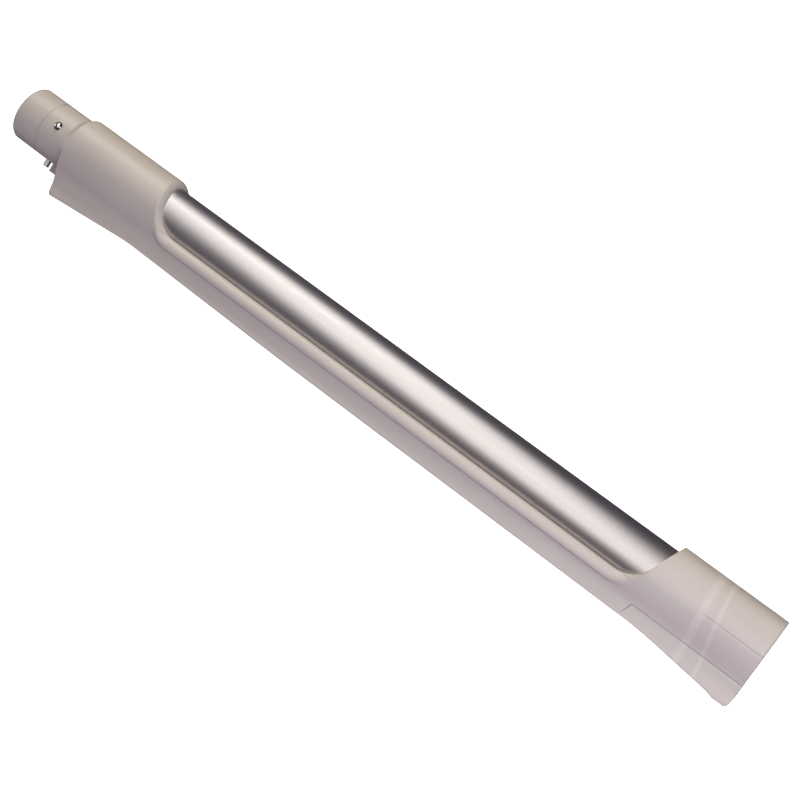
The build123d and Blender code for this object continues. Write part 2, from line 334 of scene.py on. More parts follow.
def bar(
    name: str, origin: tuple, direction: tuple, length: float, radius: float, sides: int = 48
) -> bpy.types.Object:
    """Round bar from a point along a direction.

    Args:
        name: the object's name.
        origin: centre of the bar's foot.
        direction: unit vector along the bar.
        length: its length.
        radius: its radius.
        sides: points around it.

    Returns:
        The solid: two circles in the plane of two vectors square to the direction.
    """
    along = Vector(direction)
    across = along.orthogonal().normalized()
    third = along.cross(across)
    angle = np.linspace(0, 2 * math.pi, sides, endpoint=False)[:, None]
    circle = radius * (np.cos(angle) * np.array(across) + np.sin(angle) * np.array(third))
    foot = np.array(origin) + circle
    return ring_solid(name, np.stack([foot, foot + length * np.array(along)]))


def spoke(
    name: str, angle_deg: float, station: float, inner: float, outer: float, radius: float
) -> bpy.types.Object:
    """Round bar along a radius of the tube, between two distances from the axis."""
    y, z = math.sin(math.radians(angle_deg)), math.cos(math.radians(angle_deg))
    return bar(name, (station, y * inner, z * inner), (0.0, y, z), outer - inner, radius)


def carve(solid: bpy.types.Object, tools: list[tuple[bpy.types.Object, Cut]]) -> None:
    """Applies tools to a solid, one after the other, and clears them away.

    Args:
        solid: what is carved.
        tools: each tool and what it does.
    """
    for tool, cut in tools:
        modifier = solid.modifiers.new(tool.name, "BOOLEAN")
        modifier.operation = cut.value
        modifier.solver = "MANIFOLD"
        modifier.object = tool
    whole = solid.evaluated_get(bpy.context.evaluated_depsgraph_get())
    data, rough = bpy.data.meshes.new_from_object(whole), solid.data
    solid.modifiers.clear()
    solid.data = data
    for mesh in [rough, *[tool.data for tool, _ in tools]]:
        mesh.name = "spent"
    for tool, _ in tools:
        bpy.data.objects.remove(tool)
    data.name = solid.name


def settle(
    piece: bpy.types.Object, material: bpy.types.Material, crease_deg: float = 32.0
) -> None:
    """Gives a new piece its finish and smooth shading with sharp creases.

    Args:
        piece: the piece.
        material: its finish.
        crease_deg: angle between faces above which an edge stays sharp.
    """
    piece.data.materials.clear()
    piece.data.materials.append(material)
    piece.data.shade_smooth()
    piece.data.set_sharp_from_angle(angle=math.radians(crease_deg))
    log.info("%s: %d faces", piece.name, len(piece.data.polygons))


@dataclass(frozen=True)
class Trace:
    """Line or band painted in its own tint on the casing: a window on y, or on x plus a share of y."""

    along_x: float
    lean: float
    centre: float
    half_width: float
    begins: float
    tint: str
    strength: float


# Length over which a trace fades in, and the share of its half-width that has full strength
TRACE_FADE_MM = 12.0
TRACE_CORE = 0.3
# Parting line along the socket's side, and two slanting bands around the socket, painted lighter
PARTING_LINE = Trace(0.0, 1.0, 0.0, 0.45, 492.0, "#7A7071", 0.6)
BROAD_BAND = Trace(1.0, 0.1, 499.2, 3.2, 480.0, "#B9B0AF", 0.3)
NARROW_BAND = Trace(1.0, 0.19, 508.5, 1.7, 480.0, "#B9B0AF", 0.3)


@dataclass(frozen=True)
class Moulded:
    """Moulded plastic or rubber: a faintly mottled colour under a soft sheen with a fine grain."""

    name: str
    body: str
    shade: str
    roughness: float
    spread: float = 0.04
    ior: float = 1.53
    mottle_mm: float = 38.0
    grain_mm: float = 0.9
    grain_height_mm: float = 0.03
    grain_strength: float = 0.2
    traces: tuple[Trace, ...] = ()

    def build(self) -> bpy.types.Material:
        """Makes the material.

        Returns:
            A dielectric whose colour and gloss drift between two close values, with a fine grain, and
            with its traces, lines and bands painted in their own tints.
        """
        material, tree = blank_material(self.name)
        place = add(tree, "ShaderNodeTexCoord").outputs["Object"]
        patches, grit = (1 / (mm * MM) for mm in (self.mottle_mm, self.grain_mm))
        mottle = add(tree, "ShaderNodeTexNoise", Vector=place, Scale=patches, Detail=3.0)
        colour = add(
            tree,
            "ShaderNodeMix",
            {"data_type": "RGBA"},
            _0=mottle.outputs["Fac"],
            _6=linear(self.body),
            _7=linear(self.shade),
        ).outputs[2]
        if self.traces:
            colour = self.mark(tree, place, colour)
        grain = add(tree, "ShaderNodeTexNoise", Vector=place, Scale=grit, Detail=2.0)
        bump = add(
            tree,
            "ShaderNodeBump",
            Strength=self.grain_strength,
            Distance=self.grain_height_mm * MM,
            Height=grain.outputs["Fac"],
        )
        gloss = add(
            tree,
            "ShaderNodeMapRange",
            Value=mottle.outputs["Fac"],
            To_Min=self.roughness - self.spread,
            To_Max=self.roughness + self.spread,
        )
        shader = add(
            tree,
            "ShaderNodeBsdfPrincipled",
            Base_Color=colour,
            Roughness=gloss.outputs["Result"],
            IOR=self.ior,
            Normal=bump.outputs["Normal"],
        )
        add(tree, "ShaderNodeOutputMaterial", Surface=shader.outputs["BSDF"])
        return material

    def mark(
        self, tree: bpy.types.NodeTree, place: bpy.types.NodeSocket, colour: bpy.types.NodeSocket
    ) -> bpy.types.NodeSocket:
        """Draws the traces, each painted in its own tint.

        Args:
            tree: the material's node tree.
            place: object coordinates.
            colour: colour so far.

        Returns:
            The colour with the traces. Each one is a smooth window on its distance in the tube's frame,
            and fades in along x where it begins.
        """
        own = add(
            tree,
            "ShaderNodeMapping",
            Vector=place,
            Location=REST.back_shift(),
            Rotation=(-REST.roll, 0.0, 0.0),
            Scale=(1 / MM, 1 / MM, 1 / MM),
        )
        axes = add(tree, "ShaderNodeSeparateXYZ", Vector=own.outputs["Vector"])
        x, y = axes.outputs["X"], axes.outputs["Y"]
        smooth, line = {"interpolation_type": "SMOOTHSTEP"}, {"operation": "MULTIPLY_ADD"}
        for trace in self.traces:
            shift = add(tree, "ShaderNodeMath", line, _0=y, _1=trace.lean, _2=-trace.centre)
            slant = add(tree, "ShaderNodeMath", line, _0=x, _1=trace.along_x, _2=shift.outputs[0])
            distance = add(tree, "ShaderNodeMath", {"operation": "ABSOLUTE"}, _0=slant.outputs[0])
            begun = add(
                tree,
                "ShaderNodeMapRange",
                smooth,
                Value=x,
                From_Min=trace.begins,
                From_Max=trace.begins + TRACE_FADE_MM,
                To_Max=trace.strength,
            )
            window = add(
                tree,
                "ShaderNodeMapRange",
                smooth,
                Value=distance.outputs[0],
                From_Min=TRACE_CORE * trace.half_width,
                From_Max=trace.half_width,
                To_Min=begun.outputs["Result"],
                To_Max=0.0,
            )
            colour = add(
                tree,
                "ShaderNodeMix",
                {"data_type": "RGBA"},
                _0=window.outputs["Result"],
                _6=colour,
                _7=linear(trace.tint),
            ).outputs[2]
        return colour


@dataclass(frozen=True)
class Metal:
    """Bare metal: coloured reflections, with streaks along x where it was drawn or brushed."""

    name: str
    colour: str
    streak: str
    roughness: float
    spread: float
    streak_mm: tuple[float, float, float]

    def build(self) -> bpy.types.Material:
        """Makes the material.

        Returns:
            A metal whose roughness and tint follow noise stretched along the drawing direction.
        """
        material, tree = blank_material(self.name)
        place = add(tree, "ShaderNodeTexCoord").outputs["Object"]
        scale = [1 / (mm * MM) for mm in self.streak_mm]
        stretch = add(tree, "ShaderNodeMapping", Vector=place, Scale=scale).outputs["Vector"]
        lines = add(tree, "ShaderNodeTexNoise", Vector=stretch, Scale=1.0, Detail=4.0)
        colour = add(
            tree,
            "ShaderNodeMix",
            {"data_type": "RGBA"},
            _0=lines.outputs["Fac"],
            _6=linear(self.colour),
            _7=linear(self.streak),
        )
        gloss = add(
            tree,
            "ShaderNodeMapRange",
            Value=lines.outputs["Fac"],
            To_Min=self.roughness - self.spread,
            To_Max=self.roughness + self.spread,
        )
        shader = add(
            tree,
            "ShaderNodeBsdfPrincipled",
            Base_Color=colour.outputs[2],
            Metallic=1.0,
            Roughness=gloss.outputs["Result"],
        )
        add(tree, "ShaderNodeOutputMaterial", Surface=shader.outputs["BSDF"])
        return material


# Injection-moulded ABS in a warm pale grey: a satin skin with the mould's parting line
CASING_GREY = Moulded(
    "moulded_abs_pale_grey",
    "#A69E9A",
    "#9E9693",
    0.26,
    traces=(PARTING_LINE, BROAD_BAND, NARROW_BAND),
)
# Glass-filled PBT: near black, dry and slightly rough
SOCKET_BLACK = Moulded(
    "moulded_pbt_black", "#2A2A2C", "#222224", 0.5, grain_mm=0.5, grain_height_mm=0.05
)
# Nitrile rubber: dull black with a chalky bloom
SEAL_RUBBER = Moulded("nitrile_rubber_black", "#333336", "#28282A", 0.72, ior=1.52, mottle_mm=6.0)
# Soft PVC sheath: pale grey with a weak shine
WIRE_SHEATH = Moulded("pvc_sheath_grey", "#8D8F94", "#83858A", 0.45, mottle_mm=12.0)
# Drawn aluminium with a satin anodised skin: fine streaks along the tube
ALUMINIUM = Metal("drawn_aluminium", "#DED8D9", "#D2CCCF", 0.40, 0.05, (70.0, 0.7, 0.7))
# Stainless steel polished to a mirror, with faint rubbing marks
POLISHED_STEEL = Metal("polished_stainless_steel", "#D9D6D2", "#CFCCC8", 0.14, 0.04, (1.2, 1.2, 1.2))
# Turned steel with a dull zinc plate
PLATED_STEEL = Metal("zinc_plated_steel", "#E2E0DC", "#D6D4D0", 0.45, 0.06, (1.5, 1.5, 1.5))
# Cold-rolled spring strip, a little darker and bluish
SPRING_STEEL = Metal("spring_steel_strip", "#A9ABB0", "#999BA1", 0.3, 0.06, (0.4, 6.0, 6.0))
# Turned brass, bare
BRASS = Metal("turned_brass", "#D8B878", "#C9A764", 0.24, 0.05, (0.5, 3.0, 3.0))


@dataclass(frozen=True)
class ConnectorCover:
    """Cover under the socket, with a seam along its side and a leaning joint at its front."""

    joint_foot: float = 464.3
    seam_start: float = 467.4
    seam_depth: float = 19.2
    seam_gap: float = 0.2
    belly_depth: float = 28.1
    wall: float = 2.1
    cavity_half_width: float = 10.5
    screw_station: float = 484.3
    screw_side: float = 9.4
    screw_seat_depth: float = 26.5
    counterbore_radius: float = 2.95
    end: float = 537.0
    overshoot: float = 5.0
    floor_points: int = 60

    def zone(self, name: str, gap: float) -> bpy.types.Object:
        """Region that the cover takes up, drawn in by gap.

        Args:
            name: the tool's name.
            gap: clearance to the casing.

        Returns:
            A prism under the seam and behind the joint, with the socket's barrel taken out.
        """
        outline = [
            (self.joint_foot + gap, -BEYOND),
            (self.joint_foot + gap, -self.belly_depth),
            (self.seam_start + gap, -self.seam_depth - gap),
            (self.end + self.overshoot, -self.seam_depth - gap),
            (self.end + self.overshoot, -BEYOND),
        ]
        region = prism(name, outline, BEYOND)
        radius = REST.collar_radius + gap
        ends = (self.joint_foot - self.overshoot, self.end + BEYOND)
        carve(region, [(lathe(f"{name}_barrel", [(x, radius) for x in ends]), Cut.REMOVE)])
        return region

    def build(self, casing: "Casing", material: bpy.types.Material) -> None:
        """Cuts the cover out of the casing's skin and hollows it.

        Args:
            casing: gives the skin and the underside's line.
            material: the finish.
        """
        cover = ring_solid("connector_cover_shell", casing.skin())
        x = np.linspace(self.joint_foot - self.overshoot, self.end, self.floor_points)
        roof = [(self.end + self.overshoot, -self.wall), (x[0], -self.wall)]
        floor = np.column_stack([x, self.wall - casing.underside(x)])
        level = [(self.end + self.overshoot, floor[-1, 1])]
        hollow = np.concatenate([floor, level, roof])
        tools = [
            (self.zone("cover_zone", self.seam_gap), Cut.KEEP),
            (prism("cover_cavity", hollow, self.cavity_half_width), Cut.REMOVE),
        ]
        for side in Side:
            origin = (self.screw_station, -BEYOND, side.value * self.screw_side)
            reach = BEYOND - self.screw_seat_depth
            name = f"counterbore_{side.name}"
            head = bar(name, origin, ALONG_Y, reach, self.counterbore_radius)
            tools.append((head, Cut.REMOVE))
        carve(cover, tools)
        settle(cover, material)
        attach(cover, "body")
        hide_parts("connector_cover")


@dataclass(frozen=True)
class Casing:
    """Grey moulding: spigot, collar with a rounded lip, fairing with two rails, and socket.

    Its outside is a height over a line that runs core_depth below the axis. Seen from that line every
    surface shows once, the rails' rounded tops too.
    """

    end: float = 537.0
    core_depth: float = 10.0
    spigot_radius: float = 17.5
    spigot_length: float = 38.5
    collar_radius: float = 20.0
    collar_start: float = 42.0
    end_edge: float = 0.5
    barrel_rounds: tuple[float, ...] = (1.5, 2.5, 2.0, 0.4)
    tube_radius: float = 16.0
    hidden_radius: float = 15.6
    groove: tuple[float, float, float] = (19.0, 19.8, 0.25)
    edge_round: float = 1.6
    crease_round: float = 5.0
    window_start: float = 112.3
    window_end: float = 471.0
    window_lean_deg: float = 20.0
    window_floor_depth: float = 8.9
    front_round: float = 10.0
    rear_round: float = 12.0
    front_rim: float = 3.4
    rear_rim: float = 1.0
    rail_width: float = 6.5
    rail_half_width: float = 17.8
    rail_height: float = 18.3
    rail_round: float = 2.0
    rail_drop: float = 3.0
    rail_fade: tuple[float, float] = (440.0, 472.0)
    side_half_width: float = 13.5
    foot_half_width: float = 16.0
    foot_spread: tuple[float, float] = (486.0, 534.0)
    # Underside in side view, as (station, depth), and the rounds of its corners
    belly: Line = (
        (41.9, 5.0), (42.0, 17.5), (46.5, 32.0), (106.5, 26.7), (230.0, 28.1),
        (477.0, 28.1), (524.0, 32.3), (527.5, 33.4), (537.0, 33.4), (537.0, 20.0),
    )
    belly_rounds: tuple[float, ...] = (0.01, 2.0, 150.0, 1500.0, 200.0, 8.0, 8.0, 3.0)
    belly_steps: int = 24
    # Section of the fairing's side, as (half-width, depth), with the rounds of its corners
    side_top: Line = ((12.0, 0.0), (16.5, 8.0))
    side_draft: float = 0.3
    side_draft_depth: float = 20.0
    side_reach: float = 45.0
    upright_rounds: tuple[float, ...] = (3.0, 36.0)
    flare_start: tuple[float, float] = (12.7, 18.8)
    flare_half_width: float = 18.6
    flared_rounds: tuple[float, ...] = (3.0, 9.0, 400.0)
    least_base: float = 0.01
    least_slope: float = 0.001
    # Plain runs of rings: first station, last station and number
    ring_runs: tuple[tuple[float, float, int], ...] = (
        (2.5, 18.5, 4), (21.0, 36.0, 4), (37.4, 43.0, 16), (43.2, 49.0, 26), (50.0, 102.0, 26),
        (145.0, 372.0, 36), (378.0, 450.0, 26), (482.0, 522.0, 24), (523.0, 534.0, 18),
    )
    groove_step: float = 0.02
    # Angles in degrees that the points of a ring keep to, and how many points lie between them
    corner_range: tuple[float, float] = (-60.0, -46.0)
    corner_span: tuple[float, float] = (4.0, 3.0)
    corner_least_depth: float = 24.0
    side_anchors: tuple[float, ...] = (-38.0, -14.0, 2.0, 6.0, 90.0)
    anchor_points: tuple[int, ...] = (8, 12, 7, 16, 18, 12, 36)
    # Where the rings lean with the window's ends: start, rise, end and fall
    lean_front: tuple[float, float, float, float] = (55.0, 48.0, 195.0, 72.0)
    lean_rear: tuple[float, float, float, float] = (370.0, 82.0, 522.0, 46.0)
    # Stepped bore, as (station, radius): spring groove, tube, seal, relief and the next spigot
    bore: Line = (
        (-5.0, 15.6), (0.0, 15.6), (0.6, 15.0), (23.4, 15.0), (23.4, 15.8), (32.6, 15.8),
        (32.6, 15.0), (60.5, 15.0), (60.5, 16.05), (493.5, 16.05), (493.5, 17.4), (496.5, 17.4),
        (496.5, 18.1), (497.5, 18.1), (497.5, 17.7), (536.2, 17.7), (537.0, 18.5), (542.0, 18.5),
    )
    key: Box = ((31.5, 46.5), (15.5, 22.2), 2.5)
    keyway: Box = ((522.65, 540.0), (0.0, 22.6), 2.9)
    plug_recess: Box = ((40.0, 55.6), (21.5, 28.4), 8.5)
    duct_start: float = 55.5
    duct_roof_depth: float = 18.15
    duct_half_width: float = 9.7
    strip_start: float = 53.2
    strip_wall: float = 1.6
    strip_half_width: float = 12.0
    strip_points: int = 120
    pin_station: float = 26.4
    pin_seat_depth: float = 17.0
    pin_seat_radius: float = 1.95
    button_deg: float = 17.5
    button_station: float = 29.5
    button_hole_radius: float = 2.7
    detent_station: float = 528.0
    detent_reach: float = 19.2
    detent_radius: float = 3.0
    hole_start: float = 10.0
    cover: ConnectorCover = field(default_factory=ConnectorCover)

    def barrel(self, x: np.ndarray) -> np.ndarray:
        """Radius of the round body: spigot with a rounded tip and a fine groove, ramp, collar."""
        line = [(0.0, 0.0), (0.0, self.spigot_radius), (self.spigot_length, self.spigot_radius)]
        line += [(self.collar_start, self.collar_radius)]
        line += [(self.end - self.end_edge, self.collar_radius)]
        line += [(self.end, self.collar_radius - self.end_edge)]
        station, radius = rounded(line, self.barrel_rounds)[1:].T
        start, end, depth = self.groove
        return np.interp(x, station, radius) - depth * ((x >= start) & (x <= end))

    def underside(self, x: np.ndarray) -> np.ndarray:
        """Depth of the fairing's underside: front face, front ramp, belly, rear flare and foot."""
        station, depth = rounded(self.belly, self.belly_rounds, self.belly_steps)[:-1].T
        return np.interp(x, station, depth, left=0.0)

    def polar(self, outline: np.ndarray, angle: np.ndarray) -> np.ndarray:
        """Height of a section's outline at angles seen from the core line.

        Args:
            outline: (half-width, depth) points, listed downwards.
            angle: angles, 0 to the right and negative downwards.

        Returns:
            Distance from the core line, linear between the outline's points and far under the last.
        """
        half_width, lift = outline[:, 0], self.core_depth - outline[:, 1]
        bearing, height = np.arctan2(lift, half_width)[::-1], np.hypot(half_width, lift)[::-1]
        return np.interp(angle, bearing, height, left=BEYOND)

    def circle(self, radius: np.ndarray, angle: np.ndarray) -> np.ndarray:
        """Height of a circle about the axis: where a ray from the core line leaves it."""
        c = self.core_depth
        return c * np.sin(angle) + np.sqrt(radius**2 - (c * np.cos(angle)) ** 2)

    def spread(self, x: np.ndarray) -> np.ndarray:
        """How far the fairing's sides have spread towards the rear foot, 0 to 1."""
        start, end = self.foot_spread
        return ease((x - start) / (end - start))

    def waist(self, x: np.ndarray, angle: np.ndarray) -> np.ndarray:
        """Side of the fairing under the closed collar and socket: drawn in, then upright.

        Args:
            x: stations.
            angle: angles seen from the core line.

        Returns:
            Height of the side. At the rear foot the upright part is flared.
        """
        side, foot = self.side_half_width, self.foot_half_width
        upright = [(side - self.side_draft, self.side_draft_depth), (side, self.side_reach)]
        flared = [self.flare_start, (foot, REST.rear_foot_depth)]
        flared += [(self.flare_half_width, self.side_reach)]
        plain = self.polar(rounded([*self.side_top, *upright], self.upright_rounds), angle)
        wide = self.polar(rounded([*self.side_top, *flared], self.flared_rounds), angle)
        return plain + (wide - plain) * self.spread(x)

    @property
    def contact(self) -> float:
        """Angle at which the window's floor meets the tube."""
        return math.atan2(self.core_depth - self.window_floor_depth, self.tube_radius)

    def window_lines(self, angle: np.ndarray) -> tuple[np.ndarray, np.ndarray, np.ndarray]:
        """Where the window's ends and floor lie at each angle.

        Args:
            angle: angles seen from the core line.

        Returns:
            Stations of the leaning front and rear ends at that height on the tube, and the arc length
            above the window's floor, negative under it.
        """
        height = self.circle(self.hidden_radius, angle) * np.sin(angle) - self.core_depth
        height = np.maximum(height, -self.window_floor_depth)
        drop = (self.tube_radius - height) * math.tan(math.radians(self.window_lean_deg))
        floor = math.asin(-self.window_floor_depth / self.hidden_radius)
        above = self.tube_radius * (np.arcsin(np.clip(height / self.hidden_radius, -1, 1)) - floor)
        below = self.rail_half_width * np.minimum(angle - self.contact, 0)
        return self.window_start + drop, self.window_end - drop, above + below

    def corner_shift(self, above: np.ndarray, radius: float) -> np.ndarray:
        """How far a rounded corner moves the window's end inwards: a quarter circle."""
        return radius - np.sqrt(np.maximum(radius**2 - np.maximum(radius - above, 0) ** 2, 0))

    def lip(self, x: np.ndarray, angle: np.ndarray, closed: np.ndarray) -> np.ndarray:
        """Opens the window in the closed outside and lays a lip around it.

        Args:
            x: stations.
            angle: angles seen from the core line.
            closed: height of the outside without the window.

        Returns:
            Height with the window. Inside the window's rounded outline the skin hides under the tube.
            From the outline it climbs over the lip's width to the lip's edge: straight and quarter
            ellipse in equal parts at the ends, quarter ellipse alone along the floor. The edge is the
            closed outside or the rail's edge, whichever is higher, and falls back to the outside.
        """
        cosine = math.cos(math.radians(self.window_lean_deg))
        front, rear, above = self.window_lines(angle)
        bare = self.circle(self.hidden_radius, angle)
        ends = (
            (x - front, self.front_round, self.front_rim),
            (rear - x, self.rear_round, self.rear_rim),
        )
        share, beyond, level = -np.inf, -np.inf, 1.0
        for inside, radius, rim in ends:
            inside = inside * cosine
            short, low = np.maximum(radius - inside, 0), np.maximum(radius - above, 0)
            in_corner = (short > 0) & (low > 0)
            straight = np.minimum(inside, above)
            clear = np.where(in_corner, radius - np.hypot(short, low), straight)
            turned = ease(np.arctan2(low, short) / (math.pi / 2))
            width = rim + (self.rail_width - rim) * turned
            share, beyond = np.maximum(share, -clear / width), np.maximum(beyond, -clear - width)
            level = np.minimum(level, turned)
        start, end = self.rail_fade
        proud = soft_max(closed, self.rail_height, self.rail_round) - closed
        edge = closed + proud * (1 - ease((x - start) / (end - start)))
        share = np.clip(share, 0, 1)
        curve = np.sqrt(1 - (1 - share) ** 2)
        climb = bare + (edge - bare) * (curve + (share - curve) * (1 - level) / 2)
        return np.where(share < 1, climb, edge + (closed - edge) * ease(beyond / self.rail_drop))

    def stations(self) -> np.ndarray:
        """Stations of the rings at the crown, closer together where the shape turns."""
        front, rear = [float(line) for line in self.window_lines(np.array(math.pi / 2))[:2]]
        start, end, _ = self.groove
        tip_round, foot_round = self.barrel_rounds[0], self.belly_rounds[-1]
        runs = [np.linspace(*run) for run in self.ring_runs]
        runs += [
            tip_round * (1 - np.cos(np.linspace(0, math.pi / 2, 9))),
            [start - self.groove_step, start, end, end + self.groove_step],
            np.linspace(103, front - 0.4, 28),
            front + np.linspace(0, 4, 9),
            np.linspace(front + 5, 142, 18),
            np.linspace(452, rear - 1.2, 20),
            rear + self.rear_rim * np.linspace(-1, 1, 9),
            np.linspace(rear + 1.4, 480, 14),
            self.end - foot_round + foot_round * np.sin(np.linspace(0.1, math.pi / 2, 14)),
        ]
        return np.unique(np.concatenate(runs))

    def angles(self, x: np.ndarray) -> np.ndarray:
        """Angles of the points in the right half of each ring, from the underside to the crown.

        Args:
            x: one station a ring, as a column.

        Returns:
            Angles by ring and place. They crowd at the base's corner, which moves with the underside,
            and at the rail's edge and its contact with the tube.
        """
        depth = np.maximum(self.underside(x[:, 0]), self.corner_least_depth)
        widening = (self.foot_half_width - self.side_half_width) * self.spread(x[:, 0])
        bearing = np.arctan2(self.core_depth - depth, self.side_half_width + widening)
        corner = np.clip(np.degrees(bearing), *self.corner_range)
        under, over = self.corner_span
        anchors = [-90.0, corner - under, corner + over, *self.side_anchors]
        counts = np.array(self.anchor_points)
        columns = np.stack([np.broadcast_to(a, corner.shape) for a in anchors], axis=1)
        knots = np.concatenate([[0], np.cumsum(counts)])
        place = np.arange(knots[-1] + 1)
        span = np.clip(np.searchsorted(knots, place, side="right") - 1, 0, len(counts) - 1)
        share = (place - knots[span]) / counts[span]
        return np.radians(columns[:, span] * (1 - share) + columns[:, span + 1] * share)

    def lean(self, level: np.ndarray, run: tuple[float, float, float, float]) -> np.ndarray:
        """How far rings lean with a window's end: eased in from the start and out to the end."""
        start, rise, end, fall = run
        return ease((level - start) / rise) * ease((end - level) / fall)

    def skin(self) -> np.ndarray:
        """Works out the whole outside as rings.

        Returns:
            Points by ring, place and axis. The rings lean with the window's ends, so that its outline
            lies along them. The closed outside is the larger of the barrel and the waisted fairing,
            which ends at the base, and the window is opened in it.
        """
        level = self.stations()[:, None]
        angle = self.angles(level)
        front, rear, above = self.window_lines(angle)
        cosine = math.cos(math.radians(self.window_lean_deg))
        front = front + self.corner_shift(above, self.front_round) / cosine
        rear = rear - self.corner_shift(above, self.rear_round) / cosine
        x = level + (front - front[:, -1:]) * self.lean(level, self.lean_front)
        x = x + (rear - rear[:, -1:]) * self.lean(level, self.lean_rear)
        base = np.maximum(self.underside(x) - self.core_depth, self.least_base)
        base = base / np.maximum(-np.sin(angle), self.least_slope)
        waist = soft_min(self.waist(x, angle), base, self.edge_round)
        closed = soft_max(self.circle(self.barrel(x), angle), waist, self.crease_round)
        height = self.lip(x, angle, closed)
        y, z = height * np.sin(angle) - self.core_depth, height * np.cos(angle)
        right = np.stack([x, y, z], axis=-1)
        left = right[:, -2:0:-1] * [1, 1, -1]
        return np.concatenate([right, left], axis=1)

    def build(self, material: bpy.types.Material) -> None:
        """Skins the casing, joins the key and cuts every bore, seat and recess.

        Args:
            material: the finish.
        """
        casing = ring_solid("casing_shell", self.skin())
        x = np.linspace(self.strip_start, self.cover.joint_foot, self.strip_points)
        roof = np.column_stack([x, self.strip_wall - self.underside(x)])
        strip = np.concatenate([roof, [(x[-1], -BEYOND), (x[0], -BEYOND)]])
        duct = ((self.duct_start, self.cover.seam_start), (self.duct_roof_depth, BEYOND))
        below = (self.pin_station, -BEYOND, 0.0)
        pin_reach = BEYOND - self.pin_seat_depth
        tools = [
            (block("key", *self.key), Cut.JOIN),
            (self.cover.zone("cover_seat", 0.0), Cut.REMOVE),
            (block("duct", *duct, self.duct_half_width), Cut.REMOVE),
            (prism("strip_seat", strip, self.strip_half_width), Cut.REMOVE),
            (block("plug_recess", *self.plug_recess), Cut.REMOVE),
            (lathe("bore", self.bore), Cut.REMOVE),
            (bar("pin_seat", below, ALONG_Y, pin_reach, self.pin_seat_radius), Cut.REMOVE),
            (block("keyway", *self.keyway), Cut.REMOVE),
        ]
        holes = (
            ("button_hole", self.button_station, BEYOND, self.button_hole_radius),
            ("detent", self.detent_station, self.detent_reach, self.detent_radius),
        )
        for side in Side:
            angle = self.button_deg if side is Side.RIGHT else 180.0 - self.button_deg
            for name, station, reach, radius in holes:
                hole = spoke(f"{name}_{side.name}", angle, station, self.hole_start, reach, radius)
                tools.append((hole, Cut.REMOVE))
        carve(casing, tools)
        settle(casing, material)
        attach(casing, "body")
        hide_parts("casing")


@dataclass(frozen=True)
class SuctionTube:
    """Thin-walled tube, smooth all round, with clipped edges."""

    start: float = 60.5
    end: float = 493.5
    radius: float = 16.0
    bore_radius: float = 15.0
    edge: float = 0.3
    overshoot: float = 1.0
    sides: int = 288

    def build(self, material: bpy.types.Material) -> None:
        """Turns the tube and bores it.

        Args:
            material: the finish.
        """
        edged = self.radius - self.edge
        outline = [(self.start, edged), (self.start + self.edge, self.radius)]
        outline += [(self.end - self.edge, self.radius), (self.end, edged)]
        tube = lathe("suction_tube_sleeve", outline, self.sides)
        ends = (self.start - self.overshoot, self.end + self.overshoot)
        bore = lathe("tube_bore", [(x, self.bore_radius) for x in ends], self.sides)
        carve(tube, [(bore, Cut.REMOVE)])
        settle(tube, material)
        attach(tube, "body")
        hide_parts("suction_tube")


@dataclass(frozen=True)
class SpringBand:
    """Open spring ring in the spigot, in two halves that bend with their buttons."""

    start: float = 23.5
    end: float = 32.5
    inner: float = 15.25
    outer: float = 15.75
    tip_deg: float = 29.5
    edge: float = 0.18
    pin_station: float = 26.4
    button_station: float = 29.5
    button_deg: float = 17.5
    rings: int = 40

    def half(self, side: Side) -> np.ndarray:
        """Works out one half.

        Args:
            side: which half.

        Returns:
            Rings from the lowest point to the tip: a flat section with clipped corners, carried round
            the axis by the cosine and sine of the angle.
        """
        e = self.edge
        section = [(self.start + e, self.inner), (self.end - e, self.inner)]
        section += [(self.end, self.inner + e), (self.end, self.outer - e)]
        section += [(self.end - e, self.outer), (self.start + e, self.outer)]
        section += [(self.start, self.outer - e), (self.start, self.inner + e)]
        x, radius = np.array(section).T[:, None, :]
        angle = np.radians(np.linspace(-90, self.tip_deg, self.rings))[:, None]
        parts = np.broadcast_arrays(x, radius * np.sin(angle), side.value * radius * np.cos(angle))
        return np.stack(parts, axis=-1)

    def build(self, material: bpy.types.Material) -> None:
        """Makes both halves.

        Args:
            material: the finish.
        """
        halves = []
        for side in Side:
            half = ring_solid(f"spring_band_{side.name.lower()}", self.half(side))
            settle(half, material)
            y, z = [self.outer * f(math.radians(self.button_deg)) for f in (math.sin, math.cos)]
            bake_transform(half)
            halves.append(half)
        for half in halves:
            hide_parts("spring_band")


@dataclass(frozen=True)
class Fittings:
    """The solids that keep their own meshes, each with the finish of its real material."""

    finishes: dict[str, tuple[str, ...]] = field(
        default_factory=lambda: {
            "grey": ("duct_cover",),
            "polished": ("detent_button_right", "detent_button_left"),
            "plated": ("index_pin", "cover_screws"),
            "rubber": ("socket_seal",),
            "black": ("inlet_block", "outlet_block"),
            "brass": (
                "inlet_pin_right",
                "inlet_pin_left",
                "outlet_sleeve_right",
                "outlet_sleeve_left",
            ),
            "sheath": ("wire_right", "wire_left"),
        }
    )

    def build(self, materials: dict[str, bpy.types.Material]) -> None:
        """Puts the finishes on.

        Args:
            materials: finish by name.
        """
        for finish, nodes in self.finishes.items():
            for node in nodes:
                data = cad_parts[node].data
                data.materials.clear()
                data.materials.append(materials[finish])
                log.info("%s: %s", node, materials[finish].name)


@dataclass(frozen=True)
class SoftBox:
    """Soft light: centre and size in metres, power in watts, direction of its length, and tint."""

    name: str
    at: tuple[float, float, float]
    size: tuple[float, float]
    power: float
    along: tuple[float, float, float]
    colour: str
    use: Use


